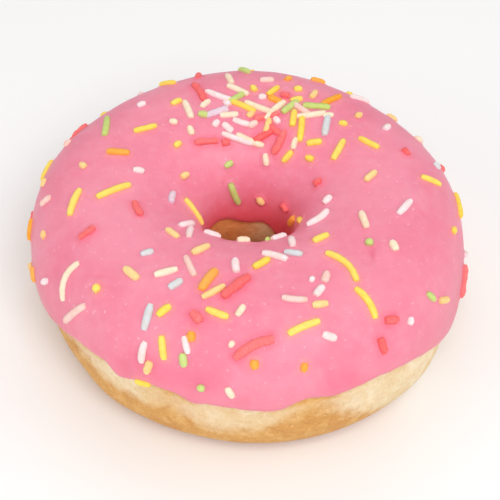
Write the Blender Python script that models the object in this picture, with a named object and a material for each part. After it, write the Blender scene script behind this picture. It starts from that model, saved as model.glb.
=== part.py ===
"""Sprinkle frosted doughnut: a raised dough ring with a cap of pink icing poured over its top.

Metres, +Z up. The ring stands on the flat of its underside at z = 0, round the Z axis, and -Y is its front.
A place on the ring is a turn, the angle round the hole from +X, and a tilt, the angle round the section:
0 at the outside, 90 degrees on top, 180 at the hole wall and 270 underneath.
"""

import math

import bmesh
import bpy

# Dough ring
DOUGH_RADIUS = 0.0440
HOLE_RADIUS = 0.0102
DOUGH_HEIGHT = 0.0339
WAIST_HEIGHT = 0.0165
FOOT_CUT = 0.0009
TOP_FULLNESS = 2.62
BELLY_FULLNESS = 2.64

# Icing cap
ICING_THICKNESS = 0.0011
ICING_CLEARANCE = 0.0003
LIP_LENGTH = 0.0018
ICED_SECTION_LENGTH = 0.056
HEM_HEIGHT = 0.0174
INNER_HEM_HEIGHT = 0.0165

# How the shape wanders round the ring: (waves in a full turn, height in metres, degrees where it peaks)
OUTLINE_WAVES = ((1, 0.00050, -37), (2, 0.00058, -49), (3, 0.00040, 52), (4, 0.00025, -12), (5, 0.00032, 17))
HOLE_WAVES = ((1, 0.00047, -19), (2, 0.00030, -8), (3, 0.00025, 30))
TOP_WAVES = ((1, 0.00020, -107), (2, 0.00050, -76), (3, 0.00020, 2))
HEM_WAVES = ((1, 0.0031, 277), (2, 0.0019, 92))
INNER_HEM_WAVES = ((1, 0.0010, 150), (4, 0.0006, 40))

# Drips and rises of the icing's outer edge: (degrees where, half the width in degrees, height in metres)
HEM_DRIPS = (
    (197, 22, -0.0027),
    (224, 21, 0.0026),
    (237, 4, -0.0022),
    (257, 4, -0.0009),
    (276, 16, -0.0029),
    (284, 5, 0.0017),
    (305, 21, 0.0010),
    (340, 19, -0.0060),
    (20, 9, -0.0014),
    (52, 7, 0.0013),
    (74, 6, -0.0018),
    (118, 8, 0.0011),
    (146, 7, -0.0016),
)

# Where the icing runs further down the hole wall, given in the same way
INNER_HEM_DRIPS = ((42, 15, -0.0034), (95, 18, -0.0006))

# Mesh fineness
ROUND_RING = 92
ROUND_DOUGH_SECTION = 22
ROUND_ICING_SECTION = 32
OUTER_FACE_SHARE = 17 / 32

# Colours, linear
CRUST_BROWN = (0.60, 0.33, 0.11)
ICING_PINK = (0.93, 0.27, 0.38)


def waves(turn, terms):
    """The sum of the waves at this turn."""
    return sum(height * math.cos(count * (turn - math.radians(peak))) for count, height, peak in terms)


def swell(turn, degrees, half_width):
    """1 at that angle round the ring, fading to nothing over about twice the half width."""
    sharpness = 4 / math.radians(half_width) ** 2
    return (0.5 + 0.5 * math.cos(turn - math.radians(degrees))) ** sharpness


def swells(turn, listed):
    """The sum of the listed drips and rises at this turn."""
    return sum(height * swell(turn, degrees, half_width) for degrees, half_width, height in listed)


def hem_height(turn):
    """How high the icing's outer edge lies."""
    return HEM_HEIGHT + waves(turn, HEM_WAVES) + swells(turn, HEM_DRIPS)


def inner_hem_height(turn):
    """How high the icing's edge lies on the hole wall."""
    return INNER_HEM_HEIGHT + waves(turn, INNER_HEM_WAVES) + swells(turn, INNER_HEM_DRIPS)


def halves(turn, tilt):
    """The section's middle radius, half width, half height on this side of the waist, and fullness there."""
    outer = DOUGH_RADIUS + waves(turn, OUTLINE_WAVES)
    inner = HOLE_RADIUS + waves(turn, HOLE_WAVES)
    if math.sin(tilt) >= 0:
        rise = DOUGH_HEIGHT + waves(turn, TOP_WAVES) - WAIST_HEIGHT
        return (outer + inner) / 2, (outer - inner) / 2, rise, TOP_FULLNESS
    return (outer + inner) / 2, (outer - inner) / 2, WAIST_HEIGHT + FOOT_CUT, BELLY_FULLNESS


def rounded(value, power):
    """value to that power, with its sign kept."""
    return math.copysign(abs(value) ** power, value)


def ring_point(turn, tilt, lift=0.0):
    """The point that stands lift clear of the bare dough at this turn and tilt."""
    middle, half_width, half_height, fullness = halves(turn, tilt)
    across, up = math.cos(tilt), math.sin(tilt)
    reach = half_width * rounded(across, 2 / fullness)
    height = half_height * rounded(up, 2 / fullness)
    outwards = rounded(across, 2 - 2 / fullness) / half_width
    upwards = rounded(up, 2 - 2 / fullness) / half_height
    slope = lift / math.hypot(outwards, upwards)
    radius = middle + reach + outwards * slope
    z = max(WAIST_HEIGHT + height + upwards * slope, 0.0)
    return radius * math.cos(turn), radius * math.sin(turn), z


def tilt_at_height(turn, height):
    """The tilt, from the outside upwards, at which the bare dough is this high."""
    side = math.copysign(math.pi / 2, height - WAIST_HEIGHT)
    _, _, half_height, fullness = halves(turn, side)
    share = abs(height - WAIST_HEIGHT) / half_height
    return math.copysign(math.asin(share ** (fullness / 2)), side)


def dough_point(turn, round_section):
    return ring_point(turn, round_section * 2 * math.pi)


def lip(share):
    """1 over the cap and down to 0 at both its edges, in a round."""
    inset = min(1.0, min(share, 1 - share) * ICED_SECTION_LENGTH / LIP_LENGTH)
    return math.sqrt(1 - (1 - inset) ** 2)


def icing_point(turn, round_section):
    """Over the cap's face from its outer edge to the hole wall, then back along its underside."""
    if round_section < OUTER_FACE_SHARE:
        share = 0.5 - 0.5 * math.cos(math.pi * round_section / OUTER_FACE_SHARE)
        thickness = ICING_THICKNESS
    else:
        share = (1 - round_section) / (1 - OUTER_FACE_SHARE)
        thickness = 0.0
    start = tilt_at_height(turn, hem_height(turn))
    end = math.pi - tilt_at_height(turn, inner_hem_height(turn))
    lift = ICING_CLEARANCE + thickness * lip(share)
    return ring_point(turn, start + (end - start) * share, lift)


def material(name, colour, roughness):
    made = bpy.data.materials.new(name)
    made.use_nodes = True
    shader = made.node_tree.nodes["Principled BSDF"]
    shader.inputs["Base Color"].default_value = (*colour, 1)
    shader.inputs["Roughness"].default_value = roughness
    shader.inputs["Metallic"].default_value = 0
    return made


def ring(name, round_section, place, finish, collection):
    """A torus whose points are moved to where place says, by their turn and their share of the section."""
    middle = (DOUGH_RADIUS + HOLE_RADIUS) / 2
    bpy.ops.mesh.primitive_torus_add(
        major_segments=ROUND_RING,
        minor_segments=round_section,
        major_radius=middle,
        minor_radius=(DOUGH_RADIUS - HOLE_RADIUS) / 2,
    )
    made = bpy.context.object
    made.name = made.data.name = name
    shape = bmesh.new()
    shape.from_mesh(made.data)
    for vertex in shape.verts:
        x, y, z = vertex.co
        turn = math.atan2(y, x)
        tilt = math.atan2(z, math.hypot(x, y) - middle)
        step = round(tilt / (2 * math.pi) * round_section) % round_section
        vertex.co = place(turn, step / round_section)
    shape.to_mesh(made.data)
    shape.free()
    made.data.shade_smooth()
    made.data.materials.append(finish)
    for other in made.users_collection:
        other.objects.unlink(made)
    collection.objects.link(made)
    return made


def clear_scene():
    for old in list(bpy.data.objects):
        bpy.data.objects.remove(old)


def main():
    clear_scene()
    collection = bpy.data.collections.new("sprinkle_frosted_doughnut")
    bpy.context.scene.collection.children.link(collection)
    ring("dough", ROUND_DOUGH_SECTION, dough_point, material("browned_crust", CRUST_BROWN, 0.7), collection)
    ring("icing", ROUND_ICING_SECTION, icing_point, material("pink_icing", ICING_PINK, 0.35), collection)


main()
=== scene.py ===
"""Looks of the sprinkle frosted doughnut: browned dough ring, pink icing cap and sugar strands.

A place on the ring is a turn, the angle round the hole from +X, and a tilt, the angle round the section:
0 at the outside, 90 degrees on top and 180 at the hole wall. Lengths are in metres.
"""

import math
import random

import bpy
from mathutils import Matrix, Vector


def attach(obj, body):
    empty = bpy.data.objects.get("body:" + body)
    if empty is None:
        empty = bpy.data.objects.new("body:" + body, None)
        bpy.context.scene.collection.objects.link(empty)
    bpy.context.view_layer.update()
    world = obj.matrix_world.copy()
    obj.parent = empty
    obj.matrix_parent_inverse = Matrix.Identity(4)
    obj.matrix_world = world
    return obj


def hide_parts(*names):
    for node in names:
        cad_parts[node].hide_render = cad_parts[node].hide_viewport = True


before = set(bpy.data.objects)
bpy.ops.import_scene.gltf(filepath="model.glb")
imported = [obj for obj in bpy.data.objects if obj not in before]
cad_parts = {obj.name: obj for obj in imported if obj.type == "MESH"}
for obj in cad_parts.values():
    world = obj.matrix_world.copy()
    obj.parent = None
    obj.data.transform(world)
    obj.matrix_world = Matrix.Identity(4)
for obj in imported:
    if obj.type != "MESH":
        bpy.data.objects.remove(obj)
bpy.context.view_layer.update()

MM = 0.001

# Shape of the ring, the same as the CAD
DOUGH_RADIUS = 0.0440
HOLE_RADIUS = 0.0102
DOUGH_HEIGHT = 0.0339
WAIST_HEIGHT = 0.0165
FOOT_CUT = 0.0009
TOP_FULLNESS = 2.62
BELLY_FULLNESS = 2.64
HEM_HEIGHT = 0.0174
INNER_HEM_HEIGHT = 0.0165

# How the shape wanders round the ring: (waves in a full turn, height, degrees where it peaks)
OUTLINE_WAVES = ((1, 0.00050, -37), (2, 0.00058, -49), (3, 0.00040, 52), (4, 0.00025, -12), (5, 0.00032, 17))
HOLE_WAVES = ((1, 0.00047, -19), (2, 0.00030, -8), (3, 0.00025, 30))
TOP_WAVES = ((1, 0.00020, -107), (2, 0.00050, -76), (3, 0.00020, 2))
HEM_WAVES = ((1, 0.0031, 277), (2, 0.0019, 92))
INNER_HEM_WAVES = ((1, 0.0010, 150), (4, 0.0006, 40))

# Single drips and rises of the icing's outer edge: (degrees where, half its width in degrees, height)
HEM_DRIPS = (
    (197, 22, -0.0027),
    (224, 21, 0.0026),
    (237, 4, -0.0022),
    (257, 4, -0.0009),
    (276, 16, -0.0029),
    (284, 5, 0.0017),
    (305, 21, 0.0010),
    (340, 19, -0.0060),
    (20, 9, -0.0014),
    (52, 7, 0.0013),
    (74, 6, -0.0018),
    (118, 8, 0.0011),
    (146, 7, -0.0016),
)

# Icing
ICING_THICKNESS = 0.0014
ICING_SUNK = 0.0004
ICED_SECTION_LENGTH = 0.056
LIP_LENGTH = 0.0017
LIP_OVERHANG = 0.0006
ICING_FACE_SHARE = 0.92

# Dents and swells of the icing: (turn, tilt, way it runs from outwards in degrees, length, width, depth)
ICING_MARKS = (
    (245, 24, 80, 7.0, 2.8, -0.50),
    (259, 25, 95, 5.0, 2.4, -0.40),
    (238, 16, 40, 3.0, 1.8, -0.45),
    (233, 30, 60, 5.0, 2.4, 0.30),
    (290, 24, 20, 4.0, 1.6, -0.50),
    (295, 20, 30, 3.2, 1.6, -0.45),
    (284, 30, 60, 5.0, 2.6, 0.30),
    (201, 12, 90, 8.0, 3.5, 0.70),
    (274, 136, 90, 9.0, 4.5, 0.80),
    (322, 84, 126, 1.8, 0.5, -0.55),
    (324, 83, 126, 1.8, 0.5, 0.30),
    (219, 60, -62, 2.6, 0.45, -0.22),
    (222, 56, -58, 3.0, 0.45, -0.22),
    (225, 53, -55, 2.4, 0.45, 0.20),
    (305, 50, 70, 6.0, 3.0, -0.18),
    (205, 40, 0, 4.0, 2.0, -0.20),
    (152, 50, 30, 4.0, 2.0, 0.20),
)

# Where the icing runs further down the hole wall: (degrees where, half the width in degrees, height)
INNER_HEM_DRIPS = ((42, 15, -0.0034), (95, 18, -0.0006))

# Swells of the dough, given as the icing's marks are
DOUGH_MARKS = (
    (322, -14, 90, 11.0, 8.0, 0.90),
    (228, -30, 90, 5.0, 6.0, 0.40),
    (120, -20, 90, 9.0, 6.0, 0.40),
)

# Where the brown crust gives way to the pale band, how pale the band is, and where crust shows over it:
# (degrees where, half the width in degrees, change)
CRUST_LINE_HEIGHT = 0.0136
CRUST_LINE_SWELLS = (
    (218, 20, 0.0022),
    (250, 6, 0.0016),
    (263, 8, -0.0020),
    (285, 8, 0.0052),
    (327, 21, -0.0130),
    (150, 20, -0.0012),
    (90, 30, 0.0015),
    (30, 18, -0.0030),
)
PALE_SHARE = 0.82
PALE_SWELLS = (
    (216, 12, -0.15),
    (238, 7, 0.28),
    (250, 6, -0.40),
    (275, 6, 0.15),
    (287, 7, -0.55),
    (318, 22, 0.28),
)
TOP_CRUST_SWELLS = ((224, 8, 0.9), (253, 7, 0.5), (286, 9, 0.8), (60, 12, 0.8), (120, 16, 0.7))

# Sugar strands. An end rounds off over END_LENGTH, its second ring lies SECOND_RING_BACK from the full
# thickness towards the tip, both in radii, and the tip and that ring are thinner by the shares given.
STRAND_RADIUS = 0.00075
STRAND_SUNK = 0.34
END_LENGTH = 0.8
SECOND_RING_BACK = 0.72
TIP_THINNED = 0.30
SECOND_RING_THINNED = 0.06
GRAINY = 0.5
GRAIN_HEIGHT = 0.0005
GRAINY_SIZES = {"Rings": 18, "Sides": 12, "Unevenness": 0.35}

# How one strand differs from another: bow against its length, thickness, and how far it stands off the icing
BOW_RANGE = (-0.04, 0.04)
THICKNESS_RANGE = (0.93, 1.07)
PROUD_RANGE = (-0.00006, 0.00010)

# Strewn strands. They lie from the right over the back to the left, crowded on top of the back and sparse
# round it, with their middles this far apart at the least; the front has only the chosen ones.
SEED = 11
SHORTEST_STRAND = 1.6
LONGEST_STRAND = 7.2
SHORT_ONES_FAVOURED = 2.2
STREWN_FROM = -14
STREWN_TO = 206
STREWN_SHARES = (0.05, 0.90)
STREWING_TRIES = 5000
SPARSE_GAP = 0.0066
CROWDED_GAP = 0.0022
CROWD_TURN = 80
CROWD_TILT = 103
CROWD_HALF_TURN = 58
CROWD_HALF_TILT = 36

# Chosen strands by colour: turn and tilt of the middle, degrees that it runs from outwards towards greater
# turns, length in mm, how far it bows to the left in mm, and how thick it is against the others
CHOSEN_STRANDS = {
    "yellow": (
        (308, 88, 0, 9.0, 1.2, 1.0),
        (306, 63, 0, 7.0, 0.7, 1.0),
        (286, 61, 100, 6.5, 0.0, 1.0),
        (277, 101, 125, 4.0, 0.0, 1.0),
        (314, 107, 80, 3.5, 0.0, 1.0),
        (245, 64, 150, 3.0, 0.0, 1.0),
        (261, 71, 75, 4.5, 0.0, 1.0),
        (248, 41, 20, 4.5, 0.0, 1.0),
        (183, 90, 27, 7.5, 0.0, 1.0),
        (183, 146, 155, 6.5, 0.0, 1.0),
        (244, 11, 95, 3.0, 0.0, 1.0),
        (222, 53, 70, 1.6, 0.0, 1.1),
    ),
    "orange": (
        (255, 89, 165, 5.5, 0.0, 1.35),
        (255, 53, 15, 1.8, 0.0, 1.2),
        (272, 40, 0, 1.6, 0.0, 1.2),
        (284, 36, 160, 1.6, 0.0, 1.0),
        (12, 166, 160, 3.0, 0.0, 1.2),
    ),
    "peach": (
        (228, 75, 85, 4.0, 0.0, 1.1),
        (244, 105, 155, 4.0, 0.0, 1.0),
        (258, 84, 135, 5.0, 0.0, 1.0),
        (293, 73, 80, 3.0, 0.0, 1.0),
        (329, 25, 55, 3.5, 0.0, 1.0),
        (223, 106, 90, 3.5, 0.0, 1.0),
        (245, 24, 170, 2.8, 0.0, 1.0),
    ),
    "cream": (
        (212, 41, 15, 8.5, -1.3, 1.0),
        (238, 86, 140, 4.5, 0.0, 1.0),
        (267, 132, 110, 2.5, 0.0, 1.0),
        (336, 94, 125, 4.5, 0.0, 1.0),
        (329, 77, 140, 2.3, 0.0, 1.15),
        (266, 20, 30, 2.3, 0.0, 1.0),
        (268, 74, 150, 2.5, 0.0, 1.0),
        (266, 52, 60, 1.0, 0.0, 1.0),
    ),
    "blush": (
        (219, 27, 150, 8.0, 0.0, 1.0),
        (300, 87, 135, 2.5, 0.0, 1.1),
        (245, 92, 45, 5.5, 0.0, 1.0),
        (286, 80, 70, 4.7, -0.3, 1.0),
    ),
    "white": (
        (333, 124, 240, 5.0, 0.7, 1.15),
        (352, 122, 50, 2.0, 0.0, 1.2),
        (300, 117, 155, 3.6, 0.0, 1.0),
        (299, 135, 100, 3.5, 0.0, 1.0),
        (285, 106, 50, 5.2, 0.0, 1.0),
        (295, 88, 50, 1.0, 0.0, 1.0),
        (295, 81, 120, 2.8, 0.0, 1.0),
        (254, 47, 25, 3.3, 0.0, 1.0),
        (243, 33, 0, 4.5, 0.0, 1.0),
        (292, 52, 55, 2.7, 0.0, 1.1),
        (315, 36, 135, 1.5, 0.0, 1.0),
        (265, 98, 10, 3.6, 0.0, 1.0),
        (237, 134, 115, 3.4, 0.0, 1.0),
        (217, 123, 10, 4.5, 0.0, 1.0),
        (228, 117, 35, 4.3, 0.0, 1.0),
    ),
    "red": (
        (266, 88, 140, 7.0, 0.0, 1.3),
        (255, 66, 50, 2.7, 0.0, 1.25),
        (272, 50, 115, 8.0, 0.4, 1.3),
        (310, 45, 65, 2.8, 0.0, 1.2),
        (305, 33, 0, 3.2, 0.0, 1.0),
        (35, 164, 60, 1.8, 0.0, 1.0),
    ),
    "green": (
        (325, 88, 110, 1.4, 0.0, 1.2),
        (325, 37, 20, 2.5, 0.0, 1.0),
        (254, 37, 15, 2.5, 0.0, 1.0),
        (289, 136, 45, 0.8, 0.0, 1.0),
        (259, 20, 90, 1.4, 0.0, 1.0),
        (107, 161, 15, 5.5, 0.0, 1.0),
    ),
    "lilac": ((184, 124, 80, 3.2, 0.0, 1.0),),
    "blue_grey": (
        (241, 56, 10, 5.0, 0.0, 1.0),
        (295, 105, 50, 3.6, 0.0, 1.0),
        (225, 89, 155, 2.5, 0.0, 1.0),
        (244, 82, 155, 3.0, 0.0, 1.0),
    ),
}

# Colours of the strands (sRGB, 0 to 255), how grainy each kind is, and how often it turns up
STRAND_KINDS = {
    "yellow": ((255, 224, 84), 0.15, 27),
    "orange": ((255, 172, 34), 0.2, 9),
    "peach": ((255, 216, 140), 0.25, 11),
    "cream": ((252, 232, 204), 0.25, 15),
    "blush": ((252, 212, 204), 0.3, 3),
    "white": ((253, 230, 232), 0.25, 23),
    "red": ((250, 100, 102), 1.0, 16),
    "green": ((198, 220, 120), 0.3, 5),
    "lilac": ((232, 210, 228), 0.9, 3),
    "blue_grey": ((214, 221, 226), 0.4, 2),
}

# Studio: lights as place, side of the square and watts, and the camera's lens in mm
FLOOR_HALF = 3.0
LIGHTS = {
    "key": ((0.14, -0.52, 0.68), 0.50, 4.3),
    "fill": ((0.60, -0.05, 0.45), 0.60, 0.8),
    "left": ((-0.65, -0.30, 0.25), 0.60, 1.2),
    "back": ((-0.10, 0.50, 0.65), 0.60, 1.1),
}
WORLD_STRENGTH = 0.42
CAMERA_PLACE = (0.000405, -0.20605, 0.2336)
CAMERA_AIM = (0.000665, 0.00022, 0.01573)
CAMERA_LENS = 101.7


def linear(red, green, blue):
    """A colour given, 0 to 255, as the shader takes it."""
    return tuple(((c / 255 + 0.055) / 1.055) ** 2.4 if c > 10 else c / 3295 for c in (red, green, blue))


class Socket:
    """A node's output. Arithmetic on it adds Math nodes, or Vector Math nodes where it carries a vector."""

    def __init__(self, tree, socket):
        self.tree = tree
        self.socket = socket

    def join(self, operation, *values):
        vector = any(isinstance(value, Socket) and value.socket.type == "VECTOR" for value in values)
        kind = "ShaderNodeVectorMath" if vector else "ShaderNodeMath"
        return self.tree.add(kind, {"operation": operation}, dict(enumerate(values)))

    def __add__(self, other):
        return self.join("ADD", self, other)

    def __radd__(self, other):
        return self.join("ADD", other, self)

    def __sub__(self, other):
        return self.join("SUBTRACT", self, other)

    def __rsub__(self, other):
        return self.join("SUBTRACT", other, self)

    def __mul__(self, other):
        return self.join("MULTIPLY", self, other)

    def __rmul__(self, other):
        return self.join("MULTIPLY", other, self)

    def __truediv__(self, other):
        return self.join("DIVIDE", self, other)

    def __rtruediv__(self, other):
        return self.join("DIVIDE", other, self)

    def __pow__(self, other):
        return self.join("POWER", self, other)

    def __neg__(self):
        return self.join("MULTIPLY", self, -1)

    def __abs__(self):
        return self.join("ABSOLUTE", self)


class Tree:
    """A node tree under construction."""

    def __init__(self, nodes):
        self.nodes = nodes

    def add(self, kind, settings=None, values=None, output=None):
        """A node with its settings made first, then its sockets filled by name or number; gives an output."""
        node = self.nodes.nodes.new(kind)
        for name, value in (settings or {}).items():
            setattr(node, name, value)
        for name, value in (values or {}).items():
            if isinstance(name, int):
                target = node.inputs[name]
            else:
                target = next(socket for socket in node.inputs if socket.name == name and socket.enabled)
            self.fill(target, value)
        outputs = [socket for socket in node.outputs if socket.enabled and output in (None, socket.name)]
        return Socket(self, outputs[0]) if outputs else node

    def fill(self, target, value):
        if isinstance(value, Socket):
            self.nodes.links.new(value.socket, target)
        elif target.type in ("VECTOR", "RGBA") and isinstance(value, (int, float)):
            target.default_value = (value,) * len(target.default_value)
        elif target.type == "RGBA" and len(value) == 3:
            target.default_value = (*value, 1)
        else:
            target.default_value = value

    def split(self, vector):
        """The three parts of a vector."""
        first = self.add("ShaderNodeSeparateXYZ", {}, {0: vector})
        return [Socket(self, socket) for socket in first.socket.node.outputs]

    def noise(self, place, scale, detail=2.0, roughness=0.5, **more):
        """Soft noise from 0 to 1, features about 1 / scale metres across."""
        values = {"Vector": place, "Scale": scale, "Detail": detail, "Roughness": roughness, **more}
        return self.add("ShaderNodeTexNoise", {}, values)

    def ease(self, value, start, end, low=0.0, high=1.0):
        """low up to start, high from end on, and a soft change between."""
        settings = {"interpolation_type": "SMOOTHSTEP"}
        values = {"Value": value, "From Min": start, "From Max": end, "To Min": low, "To Max": high}
        return self.add("ShaderNodeMapRange", settings, values)

    def mix(self, factor, first, second):
        """A colour between two."""
        return self.add("ShaderNodeMix", {"data_type": "RGBA"}, {"Factor": factor, "A": first, "B": second})

    def dot(self, first, second):
        """The dot product of two vectors."""
        return self.add("ShaderNodeVectorMath", {"operation": "DOT_PRODUCT"}, {0: first, 1: second}, "Value")


def math_or_node(operation, plain):
    """A function that works on numbers, and adds a Math node where it is given a socket."""

    def worked(*values):
        sockets = [value for value in values if isinstance(value, Socket)]
        return sockets[0].join(operation, *values) if sockets else plain(*values)

    return worked


sin = math_or_node("SINE", math.sin)
cos = math_or_node("COSINE", math.cos)
exp = math_or_node("EXPONENT", math.exp)
angle_of = math_or_node("ARCTAN2", math.atan2)
root = math_or_node("SQRT", math.sqrt)
lesser = math_or_node("MINIMUM", min)
greater = math_or_node("MAXIMUM", max)
sign = math_or_node("SIGN", lambda value: math.copysign(1.0, value))
is_above = math_or_node("GREATER_THAN", lambda value, limit: float(value > limit))


def rounded(value, power):
    """value to that power, with its sign kept."""
    return sign(value) * abs(value) ** power


def waves(turn, terms):
    """The sum of the waves at this turn."""
    total = 0.0
    for count, height, peak in terms:
        total = total + cos((turn - math.radians(peak)) * count) * height
    return total


def swell(turn, degrees, half_width):
    """1 at that angle round the ring, fading to nothing over about twice the half width."""
    return (cos(turn - math.radians(degrees)) * 0.5 + 0.5) ** (4 / math.radians(half_width) ** 2)


def swells(turn, listed, total):
    """total plus the swells at this turn."""
    for degrees, half_width, rise in listed:
        total = total + swell(turn, degrees, half_width) * rise
    return total


def hem_height(turn):
    """How high the icing's outer edge lies."""
    return swells(turn, HEM_DRIPS, waves(turn, HEM_WAVES) + HEM_HEIGHT)


def inner_hem_height(turn):
    """How high the icing's edge lies on the hole wall."""
    return swells(turn, INNER_HEM_DRIPS, waves(turn, INNER_HEM_WAVES) + INNER_HEM_HEIGHT)


def section(turn):
    """The section's middle radius and half width, and half heights over and under the waist, at this turn."""
    outer = waves(turn, OUTLINE_WAVES) + DOUGH_RADIUS
    inner = waves(turn, HOLE_WAVES) + HOLE_RADIUS
    over = waves(turn, TOP_WAVES) + (DOUGH_HEIGHT - WAIST_HEIGHT)
    return (outer + inner) * 0.5, (outer - inner) * 0.5, over, WAIST_HEIGHT + FOOT_CUT


def bare_ring(turn, tilt):
    """Radius and height of the bare dough, and which way is out of it, as a pair of equal length one."""
    middle, half_width, over, under = section(turn)
    across = cos(tilt)
    up = sin(tilt)
    upper = is_above(up, 0.0)
    half_height = upper * (over - under) + under
    fullness = upper * (TOP_FULLNESS - BELLY_FULLNESS) + BELLY_FULLNESS
    reach = half_width * rounded(across, 2 / fullness)
    height = half_height * rounded(up, 2 / fullness)
    outwards = rounded(across, 2 - 2 / fullness) / half_width
    upwards = rounded(up, 2 - 2 / fullness) / half_height
    steepness = root(outwards * outwards + upwards * upwards)
    return middle + reach, height + WAIST_HEIGHT, outwards / steepness, upwards / steepness


def spot(turn_degrees, tilt_degrees, lift):
    """The point that stands lift clear of the bare dough."""
    turn = math.radians(turn_degrees)
    radius, height, outwards, upwards = bare_ring(turn, math.radians(tilt_degrees))
    radius += outwards * lift
    return Vector((radius * math.cos(turn), radius * math.sin(turn), height + upwards * lift))


def out_of(turn_degrees, tilt_degrees):
    """The way out of the surface at a spot."""
    return (spot(turn_degrees, tilt_degrees, MM) - spot(turn_degrees, tilt_degrees, 0.0)).normalized()


def way_along(turn, tilt, heading):
    """The way along the surface at a spot that runs heading degrees from outwards, towards greater turns."""
    down = (spot(turn, tilt - 1, 0.0) - spot(turn, tilt, 0.0)).normalized()
    aside = out_of(turn, tilt).cross(down)
    return down * math.cos(math.radians(heading)) + aside * math.sin(math.radians(heading))


def geometry_tree(name, sizes):
    """A Geometry Nodes tree with named inputs for its sizes; gives the tree and its inputs."""
    nodes = bpy.data.node_groups.new(name, "GeometryNodeTree")
    nodes.interface.new_socket("Geometry", in_out="INPUT", socket_type="NodeSocketGeometry")
    nodes.interface.new_socket("Geometry", in_out="OUTPUT", socket_type="NodeSocketGeometry")
    for label, (kind, value) in sizes.items():
        socket = nodes.interface.new_socket(label, in_out="INPUT", socket_type="NodeSocket" + kind)
        if value is not None:
            socket.default_value = value
    tree = Tree(nodes)
    entry = nodes.nodes.new("NodeGroupInput")
    given = {socket.name: Socket(tree, socket) for socket in entry.outputs if socket.name}
    return tree, given


def close_tree(tree, shape, finish):
    """Realize Instances, Set Material and the way out of the tree."""
    shape = tree.add("GeometryNodeRealizeInstances", {}, {"Geometry": shape})
    shape = tree.add("GeometryNodeSetMaterial", {}, {"Geometry": shape, "Material": finish})
    leave = tree.nodes.nodes.new("NodeGroupOutput")
    tree.nodes.links.new(shape.socket, leave.inputs[0])


def store(tree, name, value, shape):
    """The shape with a value kept at each point for its material."""
    values = {"Geometry": shape, "Name": name, "Value": value}
    return tree.add("GeometryNodeStoreNamedAttribute", {"data_type": "FLOAT", "domain": "POINT"}, values)


def plain_mesh(name, tree, guide, sizes):
    """What the tree makes of the guide mesh, as a plain mesh object."""
    holder = bpy.data.objects.new(name + "_guide", guide)
    bpy.context.scene.collection.objects.link(holder)
    maker = holder.modifiers.new("maker", "NODES")
    maker.node_group = tree.nodes
    for item in tree.nodes.interface.items_tree:
        if item.in_out == "INPUT" and item.name in sizes:
            maker[item.identifier] = sizes[item.name]
    bpy.context.view_layer.update()
    evaluated = holder.evaluated_get(bpy.context.evaluated_depsgraph_get())
    mesh = bpy.data.meshes.new_from_object(evaluated)
    mesh.name = name
    holder.modifiers.remove(maker)
    bpy.data.objects.remove(holder)
    made = bpy.data.objects.new(name, mesh)
    bpy.context.scene.collection.objects.link(made)
    mesh.shade_smooth()
    return made


def torus(tree, given):
    """A plain torus round Z; gives it with the turn and the section angle, 0 to 1, of its points."""
    middle = (DOUGH_RADIUS + HOLE_RADIUS) / 2
    half = (DOUGH_RADIUS - HOLE_RADIUS) / 2
    steps = given["Steps Round"]
    path = tree.add("GeometryNodeCurvePrimitiveCircle", {}, {"Resolution": steps, "Radius": middle})
    steps = given["Section Steps"]
    profile = tree.add("GeometryNodeCurvePrimitiveCircle", {}, {"Resolution": steps, "Radius": half})
    shape = tree.add("GeometryNodeCurveToMesh", {}, {"Curve": path, "Profile Curve": profile})
    x, y, z = tree.split(tree.add("GeometryNodeInputPosition"))
    turn = angle_of(y, x)
    angle = angle_of(z, root(x * x + y * y) - middle)
    share = tree.add("ShaderNodeMath", {"operation": "FRACT"}, {0: angle / (2 * math.pi) + 1.0})
    return shape, turn, share


def point(tree, turn, radius, height):
    """The point at that turn, radius and height."""
    parts = {"X": radius * cos(turn), "Y": radius * sin(turn), "Z": height}
    return tree.add("ShaderNodeCombineXYZ", {}, parts)


def even_tilt(angle):
    """The tilt whose point on the ring lies in the direction of this angle from the section's middle."""
    power = TOP_FULLNESS / 2
    return angle_of(rounded(sin(angle), power), rounded(cos(angle), power))


def at_height(turn, height):
    """The angle from the section's middle, on the outside, at which the bare dough is this high."""
    _, _, over, under = section(turn)
    upper = is_above(height, WAIST_HEIGHT)
    half_height = upper * (over - under) + under
    rise = (height - WAIST_HEIGHT) / half_height
    across = (1.0 - abs(rise) ** TOP_FULLNESS) ** (1 / TOP_FULLNESS)
    return angle_of(rise, across)


def marks(tree, place, listed):
    """The sum of the dents and swells at this place."""
    total = 0.0
    for turn, tilt, heading, length, width, depth in listed:
        offset = place - tuple(spot(turn, tilt, 0.0))
        along = tree.dot(offset, tuple(way_along(turn, tilt, heading)))
        along = along * along
        across = tree.dot(offset, offset) - along
        fade = along / (length * MM) ** 2 + across / (width * MM) ** 2
        total = total + exp(-greater(fade, 0.0)) * (depth * MM)
    return total


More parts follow.
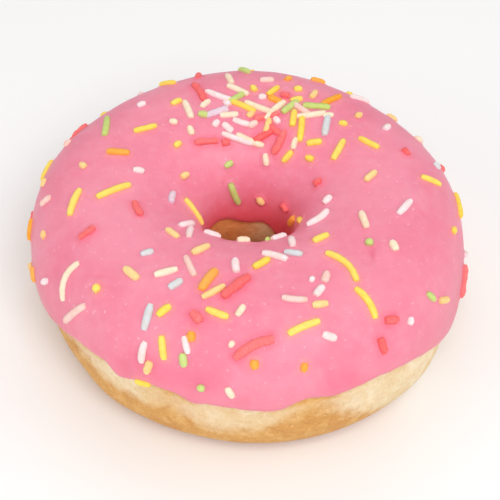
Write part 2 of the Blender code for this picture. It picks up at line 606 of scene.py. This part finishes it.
def dough_tree(finish):
    """The whole ring of dough: the ring's rule with soft wrinkles and pores, flat underneath."""
    sizes = {
        "Steps Round": ("Int", 480),
        "Section Steps": ("Int", 200),
        "Wrinkle Height": ("Float", 0.00032),
        "Pore Depth": ("Float", 0.00022),
    }
    tree, given = geometry_tree("dough ring", sizes)
    shape, turn, share = torus(tree, given)
    radius, height, outwards, upwards = bare_ring(turn, even_tilt(share * (2 * math.pi)))
    place = point(tree, turn, radius, height)
    flat = place * (1.0, 1.0, 1.8)
    wrinkles = tree.noise(flat, 170, 3.0, 0.55, Distortion=0.6) - 0.5
    lumps = tree.noise(place, 55, 1.0) - 0.5
    pores = tree.ease(tree.noise(place, 620, 2.0), 0.60, 0.74)
    lift = wrinkles * given["Wrinkle Height"] + lumps * (0.9 * MM) - pores * given["Pore Depth"]
    lift = lift + marks(tree, place, DOUGH_MARKS)
    lift = lift - tree.ease(height, 0.0215, 0.0245, 0.0, 0.0005)
    height = greater(height + upwards * lift, 0.0)
    moved = point(tree, turn, radius + outwards * lift, height)
    shape = tree.add("GeometryNodeSetPosition", {}, {"Geometry": shape, "Position": moved})
    close_tree(tree, shape, finish)
    return tree


def icing_tree(finish):
    """The cap of icing: over its face from the outer edge to the hole wall, then back along its underside."""
    sizes = {
        "Steps Round": ("Int", 480),
        "Section Steps": ("Int", 204),
        "Thickness": ("Float", ICING_THICKNESS),
        "Lip Length": ("Float", LIP_LENGTH),
        "Overhang": ("Float", LIP_OVERHANG),
        "Ragged Edge": ("Float", 0.0011),
        "Wave Height": ("Float", 0.0006),
        "Ripple Height": ("Float", 0.00010),
    }
    tree, given = geometry_tree("icing cap", sizes)
    shape, turn, share = torus(tree, given)
    radius, height, _, _ = bare_ring(turn, turn * 0.0)
    ragged = tree.noise(point(tree, turn, radius, height), 260, 2.0) - 0.5
    start = at_height(turn, hem_height(turn) + ragged * given["Ragged Edge"])
    end = math.pi - at_height(turn, inner_hem_height(turn))

    face = share / ICING_FACE_SHARE
    face = face - sin(face * (2 * math.pi)) * (0.5 / (2 * math.pi))
    under = (1.0 - share) / (1.0 - ICING_FACE_SHARE)
    is_under = is_above(share, ICING_FACE_SHARE)
    along = face + (under - face) * is_under

    inset = lesser(lesser(along, 1.0 - along) * ICED_SECTION_LENGTH / given["Lip Length"], 1.0)
    lip = root(greater(1.0 - (1.0 - inset) ** 2, 0.0))
    bulge = sin(root(inset) * math.pi) * given["Overhang"] / ICED_SECTION_LENGTH
    outer_half = 1.0 - is_above(along, 0.5) * 2.0
    on_face = 1.0 - is_under
    slid = along - bulge * outer_half * on_face
    radius, height, outwards, upwards = bare_ring(turn, even_tilt(start + (end - start) * slid))
    place = point(tree, turn, radius, height)

    low_waves = tree.noise(place, 62, 1.5) - 0.5
    ripples = tree.noise(place, 330, 2.0) - 0.5
    rim = tree.ease(inset, 0.15, 1.0)
    detail = (low_waves * given["Wave Height"] + ripples * given["Ripple Height"]) * rim
    dips = marks(tree, place, ICING_MARKS)
    detail = detail + dips * rim
    beads = tree.ease(lesser(along, 1.0 - along), 0.0, 0.13, 0.00022, 0.0)
    lift = (given["Thickness"] + beads) * lip + detail
    lift = lift * on_face - is_under * lip * ICING_SUNK - 0.00005
    moved = point(tree, turn, radius + outwards * lift, height + upwards * lift)
    # Painted shade in the dents and wave troughs, partly the deeper tone of icing that runs thinner there;
    # kept at each point for the material.
    thin = tree.ease(dips + low_waves * given["Wave Height"], 0.00005, -0.00045)
    shape = store(tree, "thin", thin, shape)
    shape = tree.add("GeometryNodeSetPosition", {}, {"Geometry": shape, "Position": moved})
    close_tree(tree, shape, finish)
    return tree


def strand_tree(kind, finish):
    """Strands along the guide's edges: laid on the icing, part sunk, round and blunt at the ends."""
    sizes = {
        "Icing": ("Object", None),
        "Radius": ("Float", STRAND_RADIUS),
        "Sunk Share": ("Float", STRAND_SUNK),
        "Rings": ("Int", 10),
        "Sides": ("Int", 8),
        "Unevenness": ("Float", 0.14),
        "Grain": ("Float", 0.0),
    }
    tree, given = geometry_tree(kind + " strands", sizes)

    def named(name, data_type):
        return tree.add("GeometryNodeInputNamedAttribute", {"data_type": data_type}, {"Name": name})

    position = tree.add("GeometryNodeInputPosition")
    curve = tree.add("GeometryNodeMeshToCurve", {}, {"Mesh": given["Geometry"]})
    curve = tree.add("GeometryNodeResampleCurve", {}, {"Curve": curve, "Count": given["Rings"]})
    factor = tree.add("GeometryNodeSplineParameter", {}, {}, "Factor")
    last = given["Rings"] - 1.0
    step = factor * last
    span = named("span", "FLOAT_VECTOR")
    length = tree.add("ShaderNodeVectorMath", {"operation": "LENGTH"}, {0: span}, "Value")
    unit = lesser(given["Radius"] / length, 0.5)
    inner = lesser(greater((step - 2.0) / (last - 4.0), 0.0), 1.0)
    from_end = lesser(step, last - step)
    first = is_above(0.5, from_end)
    second = is_above(1.5, from_end) - first
    side = is_above(factor, 0.5) * 2.0 - 1.0
    eased = unit * END_LENGTH + inner * (1.0 - unit * (2 * END_LENGTH))
    eased = eased + side * (first * END_LENGTH + second * SECOND_RING_BACK) * unit
    middle = eased * (1.0 - eased) * 4.0
    along = position + span * (eased - factor) + named("bow", "FLOAT_VECTOR") * middle
    curve = tree.add("GeometryNodeSetPosition", {}, {"Geometry": curve, "Position": along})

    own_space = {"transform_space": "ORIGINAL"}
    target = tree.add("GeometryNodeObjectInfo", own_space, {"Object": given["Icing"]}, "Geometry")
    vector = {"data_type": "FLOAT_VECTOR"}
    fat = named("fat", "FLOAT")
    lying = tree.add("GeometryNodeSampleNearestSurface", vector, {"Mesh": target, "Value": position})
    way_out = tree.add("GeometryNodeInputNormal")
    way_out = tree.add("GeometryNodeSampleNearestSurface", vector, {"Mesh": target, "Value": way_out})
    clear = given["Radius"] * fat * (1.0 - given["Sunk Share"] * 2.0) + named("proud", "FLOAT")
    laid = lying + way_out * clear
    curve = tree.add("GeometryNodeSetPosition", {}, {"Geometry": curve, "Position": laid})

    blunt = 1.0 - first * TIP_THINNED - second * SECOND_RING_THINNED
    wander = tree.noise(position, 520, 1.0) - 0.5
    thick = given["Radius"] * fat * blunt * (1.0 + wander * given["Unevenness"] * 2.0)
    profile = tree.add("GeometryNodeCurvePrimitiveCircle", {}, {"Resolution": given["Sides"], "Radius": 1.0})
    swept = {"Curve": curve, "Profile Curve": profile, "Scale": thick, "Fill Caps": True}
    shape = tree.add("GeometryNodeCurveToMesh", {}, swept)
    shape = tree.add("GeometryNodeMergeByDistance", {}, {"Geometry": shape, "Distance": 0.00001})
    rough = tree.noise(position, 1100, 2.0) - 0.5
    rough = tree.add("GeometryNodeInputNormal") * (rough * given["Grain"])
    shape = tree.add("GeometryNodeSetPosition", {}, {"Geometry": shape, "Offset": rough})
    close_tree(tree, shape, finish)
    return tree


def settle_tree(finish):
    """The icing drawn up a little round every strand, and stained beside the red ones."""
    sizes = {
        "Strands": ("Collection", None),
        "Red Strands": ("Object", None),
        "Warm Strands": ("Collection", None),
        "Rise": ("Float", 0.00018),
        "Reach": ("Float", 0.00090),
    }
    tree, given = geometry_tree("settled icing", sizes)
    shape = given["Geometry"]

    def gap(geometry):
        """How far each point is from that geometry."""
        realized = tree.add("GeometryNodeRealizeInstances", {}, {"Geometry": geometry})
        return tree.add("GeometryNodeProximity", {"target_element": "FACES"}, {0: realized}, "Distance")

    position = tree.add("GeometryNodeInputPosition")
    strands = tree.add("GeometryNodeCollectionInfo", {}, {"Collection": given["Strands"]})
    warm = tree.add("GeometryNodeCollectionInfo", {}, {"Collection": given["Warm Strands"]})
    red = tree.add("GeometryNodeObjectInfo", {}, {"Object": given["Red Strands"]}, "Geometry")
    near = gap(strands)
    patchy = tree.noise(position, 900, 2.0)
    shape = store(tree, "red_stain", tree.ease(gap(red), 0.0016, 0.0) * patchy * 1.6, shape)
    shape = store(tree, "warm_stain", tree.ease(gap(warm), 0.0012, 0.0) * patchy * 1.6, shape)
    drawn = tree.ease(near, given["Reach"], 0.0) * given["Rise"]
    offset = tree.add("GeometryNodeInputNormal") * drawn
    shape = tree.add("GeometryNodeSetPosition", {}, {"Geometry": shape, "Offset": offset})
    close_tree(tree, shape, finish)
    return tree


def shader(name):
    """A new material; gives it, its tree and its Principled node."""
    made = bpy.data.materials.new(name)
    made.use_nodes = True
    tree = Tree(made.node_tree)
    return made, tree, made.node_tree.nodes["Principled BSDF"]


def finish_with(tree, principled, values):
    """Fills the Principled node's sockets."""
    for name, value in values.items():
        tree.fill(principled.inputs[name], value)


def attribute(tree, name):
    return tree.add("ShaderNodeAttribute", {"attribute_name": name}, {}, "Fac")


def bump(tree, height, distance, strength=1.0, under=None):
    values = {"Height": height, "Distance": distance, "Strength": strength}
    if under is not None:
        values["Normal"] = under
    return tree.add("ShaderNodeBump", {}, values)


def icing_material():
    made, tree, principled = shader("pink_icing_satin")
    place = tree.add("ShaderNodeTexCoord", {}, {}, "Object")
    broad = tree.noise(place, 70, 3.0, 0.6)
    cloudy = tree.noise(place, 420, 3.0, 0.6)
    grains = tree.noise(place, 2600, 2.0, 0.6)
    colour = tree.mix(tree.ease(broad, 0.35, 0.68), linear(238, 134, 158), linear(242, 146, 168))
    colour = tree.mix(tree.ease(cloudy, 0.40, 0.75) * 0.30, colour, linear(246, 164, 182))
    specks = tree.ease(tree.noise(place, 1250, 1.0), 0.69, 0.77)
    colour = tree.mix(specks * 0.45, colour, linear(255, 200, 212))
    # Painted shade: deeper pink in the dents and troughs, partly the thinner icing's own tone.
    colour = tree.mix(attribute(tree, "thin") * 0.55, colour, linear(236, 112, 140))
    x, y, z = tree.split(place)
    radius = root(x * x + y * y)
    # Painted shade: the icing turns deeper red down in the hole.
    painted_hole_mask = tree.ease(radius, 0.0165, 0.0110) * tree.ease(z, 0.0265, 0.0165)
    colour = tree.mix(painted_hole_mask, colour, linear(236, 94, 106))
    # Painted shade: the icing is darker low on the outer sides, where it turns away from the light.
    low = tree.ease(radius, 0.0300, 0.0400) * tree.ease(z, 0.0280, 0.0170)
    colour = tree.mix(low * 0.50, colour, linear(230, 124, 138))
    colour = tree.mix(lesser(attribute(tree, "warm_stain"), 1.0) * 0.30, colour, linear(255, 176, 132))
    colour = tree.mix(lesser(attribute(tree, "red_stain"), 1.0) * 0.45, colour, linear(244, 96, 118))
    normal = bump(tree, cloudy, 0.00035, 0.35)
    normal = bump(tree, grains, 0.00006, 0.45, normal)
    values = {
        "Base Color": colour,
        "Roughness": tree.ease(cloudy, 0.25, 0.75, 0.40, 0.52),
        "Normal": normal,
        "IOR": 1.45,
        "Specular IOR Level": 0.42,
        "Subsurface Weight": 0.35,
        "Subsurface Radius": (1.0, 0.45, 0.40),
        "Subsurface Scale": 0.0012,
    }
    finish_with(tree, principled, values)
    return made


def crust_material():
    made, tree, principled = shader("browned_crust_baked")
    place = tree.add("ShaderNodeTexCoord", {}, {}, "Object")
    x, y, z = tree.split(place)
    turn = angle_of(y, x)
    broad = tree.noise(place, 60, 2.0, 0.5)
    mottled = tree.noise(place, 210, 4.0, 0.62, Distortion=0.5)
    fine = tree.noise(place, 900, 4.0, 0.65)
    crumbs = tree.noise(place, 1700, 3.0, 0.7)
    blotches = tree.noise(place, 420, 3.0, 0.6)
    level = z + (broad - 0.5) * 0.0040 + (mottled - 0.5) * 0.0070 + (blotches - 0.5) * 0.0040
    # Mask of the dough in the hole, whose colour is painted lighter.
    painted_hole_mask = tree.ease(root(x * x + y * y), 0.0260, 0.0200)
    brown = tree.mix(tree.ease(mottled, 0.34, 0.66), linear(212, 152, 80), linear(226, 172, 100))
    brown = tree.mix(tree.ease(blotches, 0.50, 0.72) * 0.50, brown, linear(238, 196, 130))
    brown = tree.mix(tree.ease(fine, 0.50, 0.30) * 0.30, brown, linear(190, 120, 56))
    brown = tree.mix(tree.ease(crumbs, 0.58, 0.70) * 0.60, brown, linear(246, 220, 172))
    brown = tree.mix(tree.ease(z, 0.0045, 0.0) * 0.75, brown, linear(190, 112, 58))
    cream = tree.mix(tree.ease(mottled, 0.32, 0.68), linear(246, 228, 194), linear(234, 204, 156))
    cream = tree.mix(tree.ease(fine, 0.52, 0.34) * 0.30, cream, linear(220, 178, 122))
    cream = tree.mix(tree.ease(crumbs, 0.58, 0.70) * 0.50, cream, linear(252, 240, 216))
    # Dough in the hole: its own tan, lifted paler as painted light against the shade there, with a paler
    # patch round turn 58 and a fainter one round turn 205.
    paler_hole_patch = swells(turn, ((58, 26, 1.0), (205, 14, 0.5)), 0.0)
    hole_dough_lit = tree.mix(lesser(paler_hole_patch, 1.0), linear(255, 176, 104), linear(255, 232, 176))
    hole_dough_lit = tree.mix(tree.ease(blotches, 0.40, 0.70) * 0.45, hole_dough_lit, linear(240, 150, 84))
    line = swells(turn, CRUST_LINE_SWELLS, CRUST_LINE_HEIGHT)
    pale = swells(turn, PALE_SWELLS, PALE_SHARE)
    over_line = tree.ease(level - line, -0.0026, 0.0024)
    under_hem = tree.ease(z - hem_height(turn) + (mottled - 0.5) * 0.0030, -0.0026, -0.0006)
    patchy = swells(turn, TOP_CRUST_SWELLS, 0.0)
    pale = greater(over_line * (pale - under_hem * patchy), 0.0)
    colour = tree.mix(lesser(pale, 1.0), brown, cream)
    colour = tree.mix(painted_hole_mask, colour, hole_dough_lit)
    burnt = tree.ease(tree.noise(place, 640, 3.0, 0.6), 0.63, 0.76) * tree.ease(level - line, 0.0010, -0.0030)
    colour = tree.mix(burnt * 0.38, colour, linear(160, 98, 46))
    normal = bump(tree, mottled, 0.0010, 0.50)
    normal = bump(tree, fine, 0.00040, 0.70, normal)
    normal = bump(tree, crumbs, 0.00015, 0.60, normal)
    values = {
        "Base Color": colour,
        "Roughness": tree.ease(mottled, 0.3, 0.7, 0.62, 0.78),
        "Normal": normal,
        "Specular IOR Level": 0.25,
        "Subsurface Weight": 0.12,
        "Subsurface Radius": (1.0, 0.6, 0.35),
        "Subsurface Scale": 0.0012,
    }
    finish_with(tree, principled, values)
    return made


def strand_material(kind, tint, grain):
    made, tree, principled = shader(kind + "_sugar")
    place = tree.add("ShaderNodeTexCoord", {}, {}, "Object")
    cloudy = tree.noise(place, 900, 2.0)
    fine = tree.noise(place, 4200, 2.0, 0.6)
    full = linear(*tint)
    deep = tuple(channel * shade for channel, shade in zip(full, (0.97, 0.86, 0.78)))
    pale = tuple(channel + (1.0 - channel) * 0.22 for channel in full)
    colour = tree.mix(tree.ease(cloudy, 0.3, 0.7), deep, full)
    colour = tree.mix(tree.ease(fine, 0.5, 0.75) * (0.30 + 0.5 * grain), colour, pale)
    colour = tree.mix(attribute(tree, "shade") * 0.35, colour, pale)
    normal = bump(tree, fine, 0.00006, 0.35 + 0.5 * grain)
    values = {
        "Base Color": colour,
        "Roughness": tree.ease(fine, 0.3, 0.7, 0.42 + 0.15 * grain, 0.55 + 0.2 * grain),
        "Normal": normal,
        "Specular IOR Level": 0.40,
        "Subsurface Weight": 0.25,
        "Subsurface Radius": (1.0, 0.8, 0.6),
        "Subsurface Scale": 0.0006,
    }
    finish_with(tree, principled, values)
    return made


def strand_guide(name, strands, chance):
    """One edge for each strand, from end to end just over the icing, with what its tree needs to know."""
    mesh = bpy.data.meshes.new(name)
    points = []
    facts = {"span": [], "bow": [], "fat": [], "proud": [], "shade": []}
    for turn, tilt, heading, length, bow, fat in strands:
        middle = spot(turn, tilt, ICING_THICKNESS)
        span = way_along(turn, tilt, heading) * (length * MM)
        left = out_of(turn, tilt).cross(span).normalized()
        bow += chance.uniform(*BOW_RANGE) * length
        fat *= chance.uniform(*THICKNESS_RANGE)
        shade = chance.random()
        proud = chance.uniform(*PROUD_RANGE)
        for end in (middle - span * 0.5, middle + span * 0.5):
            points.append(end)
            facts["span"].append(span)
            facts["bow"].append(left * bow * MM)
            facts["fat"].append(fat)
            facts["proud"].append(proud)
            facts["shade"].append(shade)
    mesh.from_pydata(points, [(i, i + 1) for i in range(0, len(points), 2)], [])
    for label, values in facts.items():
        vector = label in ("span", "bow")
        kept = mesh.attributes.new(label, "FLOAT_VECTOR" if vector else "FLOAT", "POINT")
        if vector:
            kept.data.foreach_set("vector", [part for value in values for part in value])
        else:
            kept.data.foreach_set("value", values)
    return mesh


def strand_gap(turn, tilt):
    """How far apart the middles of the strands lie at the least at this spot."""
    out_of_crowd = ((turn - CROWD_TURN) / CROWD_HALF_TURN) ** 2 + ((tilt - CROWD_TILT) / CROWD_HALF_TILT) ** 2
    return SPARSE_GAP + (CROWDED_GAP - SPARSE_GAP) * math.exp(-out_of_crowd**2)


def scattered(chosen, chance):
    """Strands strewn at random over the icing, clear of the chosen ones."""
    kinds = list(STRAND_KINDS)
    weights = [STRAND_KINDS[kind][2] for kind in kinds]
    made = {kind: [] for kind in kinds}
    middles = [spot(strand[0], strand[1], 0.0) for strands in chosen.values() for strand in strands]
    for _ in range(STREWING_TRIES):
        turn = chance.uniform(STREWN_FROM, STREWN_TO)
        share = chance.uniform(*STREWN_SHARES)
        heading = chance.uniform(0, 180)
        longer = chance.random() ** SHORT_ONES_FAVOURED
        length = SHORTEST_STRAND + (LONGEST_STRAND - SHORTEST_STRAND) * longer
        kind = chance.choices(kinds, weights)[0]
        kept = chance.random()
        around = math.radians(turn)
        start = at_height(around, hem_height(around))
        end = math.pi - at_height(around, inner_hem_height(around))
        tilt = math.degrees(even_tilt(start + (end - start) * share))
        middle = spot(turn, tilt, 0.0)
        even = math.hypot(middle.x, middle.y) > kept * DOUGH_RADIUS
        nearest = min(((middle - other).length for other in middles), default=DOUGH_RADIUS)
        if even and nearest > strand_gap(turn, tilt):
            middles.append(middle)
            made[kind].append((turn, tilt, heading, length, 0.0, 1.0))
    return made


def area_light(name, place, size, watts):
    """A soft square light that looks at the doughnut."""
    data = bpy.data.lights.new(name, "AREA")
    data.shape = "SQUARE"
    data.size = size
    data.energy = watts
    light = bpy.data.objects.new(name, data)
    bpy.context.scene.collection.objects.link(light)
    light.location = place
    light.rotation_euler = (Vector((0, 0, 0.02)) - Vector(place)).to_track_quat("-Z", "Y").to_euler()


def floor_material():
    made, tree, principled = shader("pale_floor")
    place = tree.add("ShaderNodeTexCoord", {}, {}, "Object")
    cloud = tree.noise(place, 6, 2.0)
    values = {
        "Base Color": tree.mix(cloud, linear(246, 245, 244), linear(250, 250, 250)),
        "Roughness": 0.9,
        "Specular IOR Level": 0.1,
    }
    finish_with(tree, principled, values)
    return made


def studio():
    """Floor, lights and camera."""
    scene = bpy.context.scene
    mesh = bpy.data.meshes.new("floor")
    corners = [(x * FLOOR_HALF, y * FLOOR_HALF, 0) for x, y in ((-1, -1), (1, -1), (1, 1), (-1, 1))]
    mesh.from_pydata(corners, [], [(0, 1, 2, 3)])
    mesh.materials.append(floor_material())
    floor = bpy.data.objects.new("floor", mesh)
    scene.collection.objects.link(floor)

    for name, (place, size, watts) in LIGHTS.items():
        area_light(name, place, size, watts)

    world = bpy.data.worlds.new("studio")
    world.use_nodes = True
    background = world.node_tree.nodes["Background"]
    background.inputs["Color"].default_value = (1, 1, 1, 1)
    background.inputs["Strength"].default_value = WORLD_STRENGTH
    scene.world = world
    scene.view_settings.view_transform = "Standard"
    scene.view_settings.look = "None"

    data = bpy.data.cameras.new("camera")
    data.lens = CAMERA_LENS
    data.sensor_width = 36
    data.clip_start = 0.01
    camera = bpy.data.objects.new("camera", data)
    scene.collection.objects.link(camera)
    camera.location = CAMERA_PLACE
    camera.rotation_euler = (Vector(CAMERA_AIM) - camera.location).to_track_quat("-Z", "Y").to_euler()
    scene.camera = camera


def make_strands(poured):
    """Every kind of strand as one piece, laid on the poured icing."""
    chance = random.Random(SEED)
    strewn = scattered(CHOSEN_STRANDS, chance)
    made = {}
    for kind, (tint, grain, _) in STRAND_KINDS.items():
        guide = strand_guide(kind, (*CHOSEN_STRANDS.get(kind, ()), *strewn[kind]), chance)
        tree = strand_tree(kind, strand_material(kind, tint, grain))
        sizes = {"Icing": poured, "Grain": grain * GRAIN_HEIGHT}
        if grain > GRAINY:
            sizes.update(GRAINY_SIZES)
        made[kind] = plain_mesh(kind + "_strands", tree, guide, sizes)
    return made


def settle(poured, finish, strands):
    """The finished cap of icing, with the strands settled into it."""
    every = bpy.data.collections.new("strands")
    warm = bpy.data.collections.new("warm_strands")
    for kind, piece in strands.items():
        every.objects.link(piece)
        if kind in ("yellow", "orange"):
            warm.objects.link(piece)
    sizes = {"Strands": every, "Red Strands": strands["red"], "Warm Strands": warm}
    icing = plain_mesh("pink_icing_cap", settle_tree(finish), poured.data, sizes)
    bpy.data.collections.remove(every)
    bpy.data.collections.remove(warm)
    return icing


def main():
    studio()
    empty = bpy.data.meshes.new("nothing")
    dough = plain_mesh("browned_dough_ring", dough_tree(crust_material()), empty, {})
    pink = icing_material()
    poured = plain_mesh("poured_icing", icing_tree(pink), empty, {})
    strands = make_strands(poured)
    icing = settle(poured, pink, strands)
    bpy.data.objects.remove(poured)

    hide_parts("dough")
    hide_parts("icing")
    for piece in (dough, icing, *strands.values()):
        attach(piece, "root")


main()
